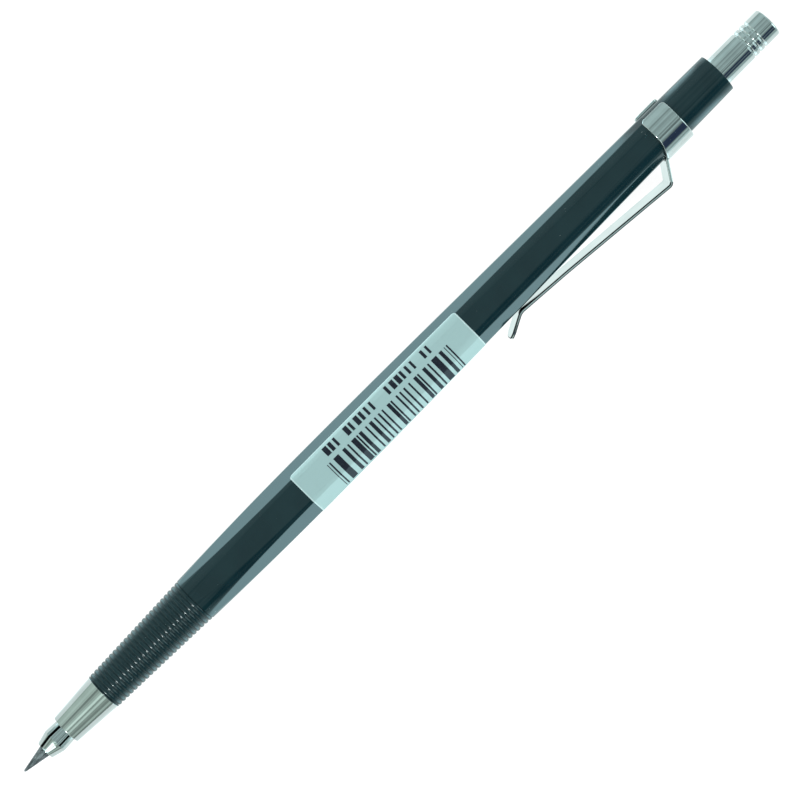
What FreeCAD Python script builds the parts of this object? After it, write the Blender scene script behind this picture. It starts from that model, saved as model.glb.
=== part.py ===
import FreeCAD, Part
import math
import os
from FreeCAD import Vector

# A lead holder (clutch pencil) for 2 mm leads, in millimetres.
# Stations are distances along the pencil, back from the point of its lead.
# Every piece is made about the X axis with the point at station 0, and place() then lays the
# pencil on its lower flat with the middle of its length at the origin.

OVERALL_LENGTH = 150.0

# lead
LEAD_RADIUS = 1.0
LEAD_LENGTH = 130.0
POINT_LENGTH = 4.35
POINT_TIP_RADIUS = 0.15

# clutch
JAW_COUNT = 3
JAW_SLIT = 0.42
JAW_BORE_RADIUS = 1.02
HEAD_FRONT = (4.25, 1.42)
HEAD_CREST = (6.2, 1.965)
HEAD_REAR = (8.5, 1.83)
NECK_START = 10.6
NECK_RADIUS = 1.5
JAW_ROOT = 22.0
JAW_ROOT_GAP = 0.05
FIRST_SLIT_ANGLE = 31.0
COLLET_SHOULDER = 25.0
COLLET_END = 30.0

# lead tube and its spring
TUBE_RADIUS = 1.6
TUBE_BORE_RADIUS = 1.3
TUBE_END = 141.0
COLLAR_START = 36.0
COLLAR_LENGTH = 1.5
COLLAR_RADIUS = 2.3
SPRING_WIRE_RADIUS = 0.175
SPRING_COIL_RADIUS = 2.0
SPRING_TURNS = 11
SPRING_END_GAP = 0.2

# nose sleeve
SLEEVE_FRONT = 8.4
SLEEVE_FRONT_RADIUS = 2.345
SLEEVE_REAR_RADIUS = 2.88
SLEEVE_EDGE = 0.08
SLEEVE_MOUTH_RADIUS = 1.88
SLEEVE_SEAT_LENGTH = 0.8
SLEEVE_BORE_RADIUS = 1.75
THREAD_RADIUS = 2.3
THREAD_END = 22.0

# barrel
BARREL_START = 16.0
BARREL_END = 139.7
BARREL_START_RADIUS = 2.985
GRIP_END = 34.0
GRIP_END_RADIUS = 3.625
CREST_STATION = 58.0
CREST_RADIUS = 4.02
TAPER_START = 84.0
TAPER_START_RADIUS = 3.859
BARREL_END_RADIUS = 3.168
BARREL_BORE_RADIUS = 2.4
THREAD_POCKET_END = 22.5
BARREL_EDGE = 0.12

# six flats on the barrel
FLAT_COUNT = 6
FLAT_START = 34.5
FLAT_LEVEL_END = 80.0
FLAT_END = 127.5
FLAT_DISTANCE = 3.62
FLAT_END_DISTANCE = 3.242

# grip rings
RING_COUNT = 24
RING_PITCH = 0.763
FIRST_RING = 16.5
GROOVE_WIDTH = 0.36
GROOVE_DEPTH = 0.13

# label
LABEL_START = 56.2
LABEL_END = 89.2
LABEL_THICKNESS = 0.08
LABEL_FROM_ANGLE = -46.0
LABEL_TO_ANGLE = 118.0

# push button
BUTTON_RADIUS = 2.33
BUTTON_START = 131.0
BUTTON_BORE_RADIUS = 1.65
BUTTON_BORE_END = 148.6
BUTTON_EDGE = 0.3
BUTTON_GROOVES = 3
BUTTON_GROOVE_FIRST = 145.2
BUTTON_GROOVE_PITCH = 1.0
BUTTON_GROOVE_WIDTH = 0.48
BUTTON_GROOVE_DEPTH = 0.13

# lead pointer inside the button
POINTER_START = 142.2
POINTER_MOUTH_RADIUS = 1.1
POINTER_CONE_LENGTH = 5.6
BLADE_COUNT = 4
BLADE_THICKNESS = 0.2
BLADE_STAND = 0.05
BLADE_START = 142.6
BLADE_END = 146.8
BLADE_TOP_RADIUS = 1.4

# clip
SHEET = 0.49
BAND_RADIUS = 3.86
BAND_START = 126.7
BAND_END = 131.1
BAND_GAP_ANGLE = 54.6
BAND_CORNER = 0.6
BAND_FLARE = 1.0
BAND_FLARE_FROM_HEIGHT = 0.0
FLEX_GAP = 0.08
NECK_LEAN = 58.0
NECK_FOOT_HEIGHT = 2.7
NECK_CLEARANCE = 0.04
ARM_CORNER = (123.9, 6.36)
ARM_MIDDLE = (104.5, 4.56)
ARM_CONTACT = (95.9, 3.93)
ARM_FOOT_ANGLE = 29.0
ARM_FOOT_LENGTH = 4.12
CORNER_BEND_RADIUS = 0.7
MIDDLE_BEND_RADIUS = 60.0
CONTACT_BEND_RADIUS = 2.0
ARM_ROOT_WIDTH = 4.0
ARM_TIP_WIDTH = 2.8
ARM_TIP_CORNER = 0.9
CLIP_TURN = 106.2

AXIS = Vector(1, 0, 0)
SIDE = Vector(0, 1, 0)
UP = Vector(0, 0, 1)
ORIGIN = Vector(0, 0, 0)
WELL_OUTSIDE = 12.0


def place(shape):
    """Lays a finished piece on the pencil's lower flat, the middle of its length at the origin."""
    placed = shape.copy()
    placed.translate(Vector(-OVERALL_LENGTH / 2, 0, FLAT_DISTANCE))
    return placed


def profile(corners):
    """A face in the XZ plane from (station, radius) corners."""
    points = [Vector(station, 0, radius) for station, radius in corners]
    return Part.Face(Part.makePolygon(points + points[:1]))


def turned(corners):
    """A solid turned about the long axis from (station, radius) corners."""
    return profile(corners).revolve(ORIGIN, AXIS, 360)


def slab(corners, width):
    """A plate of that width, centred on the XZ plane, from (station, height) corners."""
    face = profile(corners)
    face.translate(SIDE * (-width / 2))
    return face.extrude(SIDE * width)


def around(shape, angle):
    """The shape turned about the long axis, by the right-hand rule."""
    turned_shape = shape.copy()
    turned_shape.rotate(ORIGIN, AXIS, angle)
    return turned_shape


def crest_drop(run, whole_run, whole_drop):
    """How far a shallow arc has fallen at that run from its crest."""
    radius = (whole_run ** 2 + whole_drop ** 2) / (2 * whole_drop)
    return radius - math.sqrt(radius ** 2 - run ** 2)


def grip_radius(station):
    """The radius over the grip rings, which stand on a cone."""
    share = (station - BARREL_START) / (GRIP_END - BARREL_START)
    return BARREL_START_RADIUS + share * (GRIP_END_RADIUS - BARREL_START_RADIUS)


# ---------------------------------------------------------------- barrel

def front_bow(proud):
    """The arc from the grip up to the barrel's thickest station."""
    run = CREST_STATION - GRIP_END
    drop = CREST_RADIUS - GRIP_END_RADIUS
    middle = CREST_RADIUS - crest_drop(run / 2, run, drop)
    return Part.Arc(
        Vector(GRIP_END, 0, GRIP_END_RADIUS + proud),
        Vector(GRIP_END + run / 2, 0, middle + proud),
        Vector(CREST_STATION, 0, CREST_RADIUS + proud),
    ).toShape()


def rear_bow(proud):
    """The arc from the thickest station down to the straight taper."""
    run = TAPER_START - CREST_STATION
    drop = CREST_RADIUS - TAPER_START_RADIUS
    middle = CREST_RADIUS - crest_drop(run / 2, run, drop)
    return Part.Arc(
        Vector(CREST_STATION, 0, CREST_RADIUS + proud),
        Vector(CREST_STATION + run / 2, 0, middle + proud),
        Vector(TAPER_START, 0, TAPER_START_RADIUS + proud),
    ).toShape()


def barrel_envelope(proud):
    """The round body that the flats are cut from, with its skin raised by proud."""
    start = [
        Vector(BARREL_START, 0, 0),
        Vector(BARREL_START, 0, BARREL_START_RADIUS - BARREL_EDGE + proud),
        Vector(BARREL_START + BARREL_EDGE, 0, BARREL_START_RADIUS + proud),
        Vector(GRIP_END, 0, GRIP_END_RADIUS + proud),
    ]
    end = [
        Vector(TAPER_START, 0, TAPER_START_RADIUS + proud),
        Vector(BARREL_END - BARREL_EDGE, 0, BARREL_END_RADIUS + proud),
        Vector(BARREL_END, 0, BARREL_END_RADIUS - BARREL_EDGE + proud),
        Vector(BARREL_END, 0, 0),
        Vector(BARREL_START, 0, 0),
    ]
    edges = Part.makePolygon(start).Edges + [front_bow(proud), rear_bow(proud)]
    edges += Part.makePolygon(end).Edges
    return Part.Face(Part.Wire(edges)).revolve(ORIGIN, AXIS, 360)


def flat_cutters(proud):
    """What the six flats take away: level over the front, then following the taper."""
    cutter = slab(
        [
            (FLAT_START, FLAT_DISTANCE + proud),
            (FLAT_LEVEL_END, FLAT_DISTANCE + proud),
            (FLAT_END, FLAT_END_DISTANCE + proud),
            (FLAT_END, WELL_OUTSIDE),
            (FLAT_START, WELL_OUTSIDE),
        ],
        2 * FLAT_DISTANCE,
    )
    return [around(cutter, side * 360 / FLAT_COUNT) for side in range(FLAT_COUNT)]


def ring_groove(station):
    """The V between two grip rings."""
    crest = grip_radius(station)
    spread = (GROOVE_DEPTH + GROOVE_WIDTH) / GROOVE_DEPTH
    half_width = spread * GROOVE_WIDTH / 2
    return turned(
        [
            (station - half_width, crest + GROOVE_WIDTH),
            (station, crest - GROOVE_DEPTH),
            (station + half_width, crest + GROOVE_WIDTH),
        ]
    )


def barrel_bore():
    """The threaded pocket for the nose sleeve, and the bore behind it."""
    return turned(
        [
            (BARREL_START - 1, 0),
            (BARREL_START - 1, THREAD_RADIUS),
            (THREAD_POCKET_END, THREAD_RADIUS),
            (THREAD_POCKET_END, BARREL_BORE_RADIUS),
            (BARREL_END + 1, BARREL_BORE_RADIUS),
            (BARREL_END + 1, 0),
        ]
    )


def make_barrel():
    shape = barrel_envelope(0).cut(flat_cutters(0))
    between_rings = FIRST_RING + RING_PITCH / 2
    grooves = [ring_groove(between_rings + ring * RING_PITCH) for ring in range(RING_COUNT)]
    return shape.cut(grooves).cut(barrel_bore())


def make_label():
    """A thin paper skin wrapped over the upper flat and down one side."""
    outer = barrel_envelope(LABEL_THICKNESS).cut(flat_cutters(LABEL_THICKNESS))
    inner = barrel_envelope(0).cut(flat_cutters(0))
    sweep = LABEL_TO_ANGLE - LABEL_FROM_ANGLE
    section = profile(
        [
            (LABEL_START, 1),
            (LABEL_END, 1),
            (LABEL_END, WELL_OUTSIDE),
            (LABEL_START, WELL_OUTSIDE),
        ]
    )
    sector = around(section.revolve(ORIGIN, AXIS, sweep), LABEL_FROM_ANGLE)
    return outer.cut(inner).common(sector)


# ---------------------------------------------------------------- nose and clutch

def make_nose_sleeve():
    return turned(
        [
            (SLEEVE_FRONT, SLEEVE_MOUTH_RADIUS),
            (SLEEVE_FRONT, SLEEVE_FRONT_RADIUS - SLEEVE_EDGE),
            (SLEEVE_FRONT + SLEEVE_EDGE, SLEEVE_FRONT_RADIUS),
            (BARREL_START, SLEEVE_REAR_RADIUS),
            (BARREL_START, THREAD_RADIUS),
            (THREAD_END, THREAD_RADIUS),
            (THREAD_END, SLEEVE_BORE_RADIUS),
            (SLEEVE_FRONT + SLEEVE_SEAT_LENGTH, SLEEVE_BORE_RADIUS),
        ]
    )


def make_jaws():
    """The slit end of the collet: one solid per jaw, the first one after the first slit."""
    ring = turned(
        [
            (HEAD_FRONT[0], JAW_BORE_RADIUS),
            HEAD_FRONT,
            HEAD_CREST,
            HEAD_REAR,
            (NECK_START, NECK_RADIUS),
            (JAW_ROOT, NECK_RADIUS),
            (JAW_ROOT, JAW_BORE_RADIUS),
        ]
    )
    slit = slab(
        [
            (HEAD_FRONT[0] - 1, 0),
            (JAW_ROOT + 1, 0),
            (JAW_ROOT + 1, WELL_OUTSIDE),
            (HEAD_FRONT[0] - 1, WELL_OUTSIDE),
        ],
        JAW_SLIT,
    )
    sector = 360 / JAW_COUNT
    jaws = ring.cut([around(slit, jaw * sector - FIRST_SLIT_ANGLE) for jaw in range(JAW_COUNT)])
    return sorted(jaws.Solids, key=jaw_angle)


def jaw_angle(solid):
    """The turn about the long axis from the first slit to a jaw."""
    centre = solid.CenterOfMass
    from_top = math.degrees(math.atan2(-centre.y, centre.z))
    return (from_top + FIRST_SLIT_ANGLE) % 360


def make_collet_base():
    front = JAW_ROOT + JAW_ROOT_GAP
    return turned(
        [
            (front, JAW_BORE_RADIUS),
            (front, NECK_RADIUS),
            (front + TUBE_RADIUS - NECK_RADIUS, TUBE_RADIUS),
            (COLLET_SHOULDER, TUBE_RADIUS),
            (COLLET_SHOULDER, TUBE_BORE_RADIUS),
            (COLLET_END, TUBE_BORE_RADIUS),
            (COLLET_END, JAW_BORE_RADIUS),
        ]
    )


def ring(start, end, inner, outer):
    return turned([(start, inner), (start, outer), (end, outer), (end, inner)])


def make_spring():
    """A round wire coiled between the sleeve's rear face and the collar."""
    end_gap = SPRING_END_GAP
    length = COLLAR_START - THREAD_END - 2 * end_gap
    helix = Part.makeHelix(length / SPRING_TURNS, length, SPRING_COIL_RADIUS)
    wire_section = Part.Wire(
        Part.makeCircle(SPRING_WIRE_RADIUS, Vector(SPRING_COIL_RADIUS, 0, 0), SIDE)
    )
    coil = Part.Wire(helix.Edges).makePipeShell([wire_section], True, True)
    coil.rotate(ORIGIN, SIDE, 90)
    coil.translate(Vector(THREAD_END + end_gap, 0, 0))
    return coil


def make_lead():
    return turned(
        [
            (0, 0),
            (0, POINT_TIP_RADIUS),
            (POINT_LENGTH, LEAD_RADIUS),
            (LEAD_LENGTH, LEAD_RADIUS),
            (LEAD_LENGTH, 0),
        ]
    )


# ---------------------------------------------------------------- push button

def button_groove(station):
    half = BUTTON_GROOVE_WIDTH / 2
    floor = BUTTON_RADIUS - BUTTON_GROOVE_DEPTH
    return turned(
        [
            (station - half, BUTTON_RADIUS + 1),
            (station - half, BUTTON_RADIUS),
            (station - half / 2, floor),
            (station + half / 2, floor),
            (station + half, BUTTON_RADIUS),
            (station + half, BUTTON_RADIUS + 1),
        ]
    )


def make_button():
    body = turned(
        [
            (BUTTON_START, BUTTON_BORE_RADIUS),
            (BUTTON_START, BUTTON_RADIUS),
            (OVERALL_LENGTH, BUTTON_RADIUS),
            (OVERALL_LENGTH, 0),
            (BUTTON_BORE_END, 0),
            (BUTTON_BORE_END, BUTTON_BORE_RADIUS),
        ]
    )
    rim = [
        edge
        for edge in body.Edges
        if edge.BoundBox.XMin > OVERALL_LENGTH - 0.01 and edge.Length > BUTTON_RADIUS * 6
    ]
    grooves = [
        button_groove(BUTTON_GROOVE_FIRST + groove * BUTTON_GROOVE_PITCH)
        for groove in range(BUTTON_GROOVES)
    ]
    return body.makeFillet(BUTTON_EDGE, rim).cut(grooves)


def pointer_cone_radius(station):
    left = POINTER_START + POINTER_CONE_LENGTH - station
    return POINTER_MOUTH_RADIUS * left / POINTER_CONE_LENGTH


def make_blades():
    """Thin cutting plates that stand a little into the pointer's cone."""
    blade = slab(
        [
            (BLADE_START, pointer_cone_radius(BLADE_START) - BLADE_STAND),
            (BLADE_END, pointer_cone_radius(BLADE_END) - BLADE_STAND),
            (BLADE_END, BLADE_TOP_RADIUS),
            (BLADE_START, BLADE_TOP_RADIUS),
        ],
        BLADE_THICKNESS,
    )
    return [around(blade, number * 360 / BLADE_COUNT) for number in range(BLADE_COUNT)]


def make_pointer_body(blades):
    plug = turned(
        [
            (POINTER_START, POINTER_MOUTH_RADIUS),
            (POINTER_START, BUTTON_BORE_RADIUS),
            (BUTTON_BORE_END, BUTTON_BORE_RADIUS),
            (BUTTON_BORE_END, 0),
            (POINTER_START + POINTER_CONE_LENGTH, 0),
        ]
    )
    return plug.cut(blades)


# ---------------------------------------------------------------- clip

def bent_path(points, radii):
    """A wire through (station, height) points, with an arc at each inner one."""
    corners = [Vector(station, 0, height) for station, height in points]
    edges = []
    start = corners[0]
    for before, corner, after, radius in zip(corners, corners[1:], corners[2:], radii):
        back = (before - corner).normalize()
        ahead = (after - corner).normalize()
        half_turn = (math.pi - back.getAngle(ahead)) / 2
        setback = radius * math.tan(half_turn)
        inward = (back + ahead).normalize()
        depth = radius / math.cos(half_turn) - radius
        arc_start = corner + back * setback
        arc_end = corner + ahead * setback
        edges.append(Part.makeLine(start, arc_start))
        edges.append(Part.Arc(arc_start, corner + inward * depth, arc_end).toShape())
        start = arc_end
    edges.append(Part.makeLine(start, corners[-1]))
    return Part.Wire(edges)


def bent_strip(path, width):
    """Sheet metal of that width that follows a path in the XZ plane."""
    start = path.OrderedVertexes[0].Point
    heading = (path.OrderedVertexes[1].Point - start).normalize()
    across = heading.cross(SIDE) * (SHEET / 2)
    reach = SIDE * (width / 2)
    section = [
        start + across + reach,
        start + across - reach,
        start - across - reach,
        start - across + reach,
    ]
    outline = Part.makePolygon(section + section[:1])
    return path.makePipeShell([outline], True, True)


def make_clip_band():
    """A C of sheet metal round the barrel, open below, its front edge rising to the arm."""
    inner = BAND_RADIUS - SHEET
    shell = ring(BAND_START - BAND_FLARE, BAND_END, inner, BAND_RADIUS)
    plan = slab(
        [
            (BAND_END, -WELL_OUTSIDE),
            (BAND_START, -WELL_OUTSIDE),
            (BAND_START, BAND_FLARE_FROM_HEIGHT),
            (BAND_START - BAND_FLARE, BAND_RADIUS),
            (BAND_START - BAND_FLARE, WELL_OUTSIDE),
            (BAND_END, WELL_OUTSIDE),
        ],
        2 * WELL_OUTSIDE,
    )
    gap_section = profile(
        [
            (BAND_START - 1, 1),
            (BAND_END + 1, 1),
            (BAND_END + 1, WELL_OUTSIDE),
            (BAND_START - 1, WELL_OUTSIDE),
        ]
    )
    gap = around(gap_section.revolve(ORIGIN, AXIS, BAND_GAP_ANGLE), 180 - BAND_GAP_ANGLE / 2)
    band = shell.common(plan).cut(gap)
    return band.makeFillet(BAND_CORNER, end_corner_edges(band))


def end_corner_edges(band):
    """The four short edges through the sheet at the ends of the C."""
    lowest_side = -BAND_RADIUS * math.cos(math.radians(BAND_GAP_ANGLE / 2))
    return [
        edge
        for edge in band.Edges
        if abs(edge.Length - SHEET) < 0.01 and edge.BoundBox.ZMin < lowest_side + SHEET
    ]


def make_clip_arm():
    """The neck, the long arm and its turned-up foot, in one strip that narrows to the foot."""
    lean = math.radians(NECK_LEAN)
    neck_drop = ARM_CORNER[1] - NECK_FOOT_HEIGHT
    neck_foot = (ARM_CORNER[0] + neck_drop / math.tan(lean), NECK_FOOT_HEIGHT)
    rise = math.radians(ARM_FOOT_ANGLE)
    foot_end = (
        ARM_CONTACT[0] - ARM_FOOT_LENGTH * math.cos(rise),
        ARM_CONTACT[1] + ARM_FOOT_LENGTH * math.sin(rise),
    )
    path = bent_path(
        [neck_foot, ARM_CORNER, ARM_MIDDLE, ARM_CONTACT, foot_end],
        [CORNER_BEND_RADIUS, MIDDLE_BEND_RADIUS, CONTACT_BEND_RADIUS],
    )
    strip = bent_strip(path, ARM_ROOT_WIDTH + 1)
    strip = strip.common(arm_outline(foot_end[0], ARM_CORNER[0]))
    front_of_band = BAND_START - BAND_FLARE - FLEX_GAP
    underside = BAND_RADIUS - SHEET + NECK_CLEARANCE
    clear_of_barrel = ring(front_of_band - 5, front_of_band + 5, 0, underside)
    behind = Part.makeBox(
        5, 2 * WELL_OUTSIDE, WELL_OUTSIDE, Vector(front_of_band, -WELL_OUTSIDE, 0)
    )
    return strip.cut([clear_of_barrel, behind])


def arm_outline(tip, root):
    """The arm's outline from above, as a tall block: narrower at the tip, its corners round."""
    half_root = ARM_ROOT_WIDTH / 2
    half_tip = ARM_TIP_WIDTH / 2
    points = [
        Vector(tip, -half_tip, 0),
        Vector(root, -half_root, 0),
        Vector(root + 5, -half_root, 0),
        Vector(root + 5, half_root, 0),
        Vector(root, half_root, 0),
        Vector(tip, half_tip, 0),
    ]
    block = Part.Face(Part.makePolygon(points + points[:1])).extrude(UP * WELL_OUTSIDE)
    tip_edges = [
        edge
        for edge in block.Edges
        if edge.BoundBox.XMax < tip + 0.01 and edge.BoundBox.ZLength > 1
    ]
    return block.makeFillet(ARM_TIP_CORNER, tip_edges)


# ---------------------------------------------------------------- the whole pencil

def make_pieces():
    blades = make_blades()
    pieces = {
        "barrel": make_barrel(),
        "label": make_label(),
        "nose_sleeve": make_nose_sleeve(),
        "collet_base": make_collet_base(),
        "lead_tube": ring(COLLET_SHOULDER, TUBE_END, TUBE_BORE_RADIUS, TUBE_RADIUS),
        "spring_collar": ring(
            COLLAR_START, COLLAR_START + COLLAR_LENGTH, TUBE_RADIUS, COLLAR_RADIUS
        ),
        "return_spring": make_spring(),
        "lead": make_lead(),
        "push_button": make_button(),
        "pointer_body": make_pointer_body(blades),
        "pointer_blades": Part.makeCompound(blades),
        "clip_band": around(make_clip_band(), CLIP_TURN),
        "clip_arm": around(make_clip_arm(), CLIP_TURN),
    }
    for number, jaw in enumerate(make_jaws(), 1):
        pieces[f"collet_jaw_{number}"] = jaw
    return pieces


os.makedirs("parts", exist_ok=True)
for name, piece in make_pieces().items():
    node = place(piece)
    node.exportStep(f"parts/{name}.step")
    box = node.BoundBox
    print(
        f"{name:16s} solids {len(node.Solids)} volume {node.Volume:9.3f} valid {node.isValid()} "
        f"x {box.XMin:.2f}..{box.XMax:.2f} y {box.YMin:.2f}..{box.YMax:.2f} "
        f"z {box.ZMin:.2f}..{box.ZMax:.2f}"
    )
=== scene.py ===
import math
from functools import partial

import bpy
import numpy as np
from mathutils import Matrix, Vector


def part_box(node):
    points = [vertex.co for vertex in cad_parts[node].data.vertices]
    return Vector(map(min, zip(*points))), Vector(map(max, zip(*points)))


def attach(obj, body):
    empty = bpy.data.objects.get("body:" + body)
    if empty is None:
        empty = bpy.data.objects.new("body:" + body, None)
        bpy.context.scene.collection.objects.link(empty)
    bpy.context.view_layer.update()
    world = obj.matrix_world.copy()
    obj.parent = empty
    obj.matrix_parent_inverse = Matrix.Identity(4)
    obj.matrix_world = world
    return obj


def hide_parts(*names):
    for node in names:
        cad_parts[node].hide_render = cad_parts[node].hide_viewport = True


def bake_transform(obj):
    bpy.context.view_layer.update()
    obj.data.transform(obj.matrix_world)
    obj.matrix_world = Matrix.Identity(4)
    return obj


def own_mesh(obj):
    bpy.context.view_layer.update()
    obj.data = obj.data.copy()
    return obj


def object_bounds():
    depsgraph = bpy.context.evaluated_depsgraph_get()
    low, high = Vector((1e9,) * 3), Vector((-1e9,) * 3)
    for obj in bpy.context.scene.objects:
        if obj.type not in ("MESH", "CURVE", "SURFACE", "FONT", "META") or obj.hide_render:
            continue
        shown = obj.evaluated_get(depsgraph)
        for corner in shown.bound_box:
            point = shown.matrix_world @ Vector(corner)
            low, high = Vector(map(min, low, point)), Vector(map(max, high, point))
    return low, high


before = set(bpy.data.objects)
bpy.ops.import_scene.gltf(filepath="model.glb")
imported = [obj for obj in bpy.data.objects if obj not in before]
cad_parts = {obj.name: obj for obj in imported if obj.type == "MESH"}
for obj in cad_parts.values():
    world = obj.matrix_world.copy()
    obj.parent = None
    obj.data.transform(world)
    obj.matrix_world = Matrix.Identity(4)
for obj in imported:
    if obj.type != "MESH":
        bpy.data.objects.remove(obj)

# The looks of a 2 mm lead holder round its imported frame.
# Shapes are in millimetres: stations run back from the point of the lead, and radii and angles
# are about the long axis, with angle 0 at the top and growing towards the clip's side.

cad_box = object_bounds()
MM = 0.001

lead_low, lead_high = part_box("lead")
POINT_X = lead_low.x
AXIS_Z = (lead_low.z + lead_high.z) / 2


def span(node):
    """The stations of a CAD node's front and rear ends."""
    low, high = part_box(node)
    return (low.x - POINT_X) / MM, (high.x - POINT_X) / MM


def reach(node):
    """The largest radius of a CAD node that is round about the axis."""
    low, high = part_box(node)
    return (high.y - low.y) / 2 / MM


BARREL_START, BARREL_END = span("barrel")
SLEEVE_START, SLEEVE_END = span("nose_sleeve")
LABEL_START, LABEL_END = span("label")
BUTTON_START, BUTTON_END = span("push_button")
TUBE_START, TUBE_END = span("lead_tube")
COLLAR_START, COLLAR_END = span("spring_collar")
BASE_START, BASE_END = span("collet_base")
POINTER_START, POINTER_END = span("pointer_body")
_, BAND_REAR = span("clip_band")
ARM_TIP, _ = span("clip_arm")
LEAD_LENGTH = span("lead")[1]

LEAD_RADIUS = reach("lead")
BUTTON_RADIUS = reach("push_button")
TUBE_RADIUS = reach("lead_tube")
COLLAR_RADIUS = reach("spring_collar")
SPRING_OUTER_RADIUS = reach("return_spring")


# -------- meshes

def at(station, radius, angle):
    """Points in the frame, in metres, from stations, radii and angles in millimetres and radians."""
    station, radius, angle = np.broadcast_arrays(station, radius, angle)
    x = POINT_X + station * MM
    y = -np.sin(angle) * radius * MM
    z = AXIS_Z + np.cos(angle) * radius * MM
    return np.stack([x, y, z], axis=-1)


def unit(vectors):
    """The same directions, one long."""
    return vectors / np.linalg.norm(vectors, axis=-1, keepdims=True)


def heading(along, outward, angle):
    """Directions in the frame from their parts along the axis and away from it."""
    along, outward, angle = np.broadcast_arrays(along, outward, angle)
    return unit(np.stack([along, -np.sin(angle) * outward, np.cos(angle) * outward], axis=-1))


def new_piece(name, points, faces, material, normals=None):
    """A smooth mesh object, with its own normals where they are known exactly."""
    mesh = bpy.data.meshes.new(name)
    mesh.from_pydata([tuple(p) for p in points], [], [tuple(f) for f in faces])
    mesh.polygons.foreach_set("use_smooth", [True] * len(mesh.polygons))
    if normals is not None:
        mesh.normals_split_custom_set_from_vertices([tuple(n) for n in normals])
    mesh.materials.append(material)
    piece = bpy.data.objects.new(name, mesh)
    bpy.context.scene.collection.objects.link(piece)
    return piece


def grid_faces(index):
    """Quads over a grid of vertex numbers; where two corners are one vertex, a triangle."""
    corners = [index[:-1, :-1], index[:-1, 1:], index[1:, 1:], index[1:, :-1]]
    cells = np.stack([c.ravel() for c in corners], axis=1)
    faces = [tuple(dict.fromkeys(cell)) for cell in cells.tolist()]
    return [face for face in faces if len(face) > 2]


def skin(name, points, normals, material, loop=False):
    """A closed skin from rings of points. An end ring that has shrunk to the axis is one vertex."""
    rings, around = points.shape[:2]
    index = np.arange(rings * around).reshape(rings, around)
    for ring in (0, rings - 1):
        if np.ptp(points[ring], axis=0).max() < 1e-9:
            index[ring] = index[ring, 0]
    index = np.hstack([index, index[:, :1]])
    if loop:
        index = np.vstack([index, index[:1]])
    kept, compact = np.unique(index, return_inverse=True)
    faces = grid_faces(compact.reshape(index.shape))
    flat_points = points.reshape(-1, 3)[kept]
    flat_normals = normals.reshape(-1, 3)[kept]
    return new_piece(name, flat_points, faces, material, flat_normals)


ARC_STEPS = 5


def rounded(corners, loop):
    """An outline with its corners rounded, and the outward direction at each of its points.

    corners are (station, radius, rounding), followed from the front to the rear on the outside.
    """
    spots = np.array([corner[:2] for corner in corners], float)
    count = len(spots)
    points, normals = [], []
    for number, (spot, rounding) in enumerate(zip(spots, (c[2] for c in corners))):
        arriving = unit(spot - spots[(number - 1) % count])
        leaving = unit(spots[(number + 1) % count] - spot)
        if not loop and number == 0:
            arriving = leaving
        if not loop and number == count - 1:
            leaving = arriving
        turn = math.acos(float(np.clip(arriving @ leaving, -1, 1)))
        left = np.array([-arriving[1], arriving[0]])
        if turn < 1e-6:
            points.append(spot)
            normals.append(left)
            continue
        side = math.copysign(1, left @ leaving)
        centre = spot - arriving * rounding * math.tan(turn / 2) + side * rounding * left
        for step in range(ARC_STEPS + 1):
            swing = side * turn * step / ARC_STEPS
            normals.append(math.cos(swing) * left - math.sin(swing) * arriving)
            points.append(centre - side * rounding * normals[-1])
    return np.array(points), np.array(normals)


ROUND_COLUMNS = 96


def turned(name, corners, material, loop=True):
    """A piece turned about the long axis from a rounded outline."""
    points, normals = rounded(corners, loop)
    angles = np.linspace(0, math.tau, ROUND_COLUMNS, endpoint=False)[None, :]
    places = at(points[:, :1], points[:, 1:], angles)
    facing = heading(normals[:, :1], normals[:, 1:], angles)
    return skin(name, places, facing, material, loop)


# -------- materials

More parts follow.
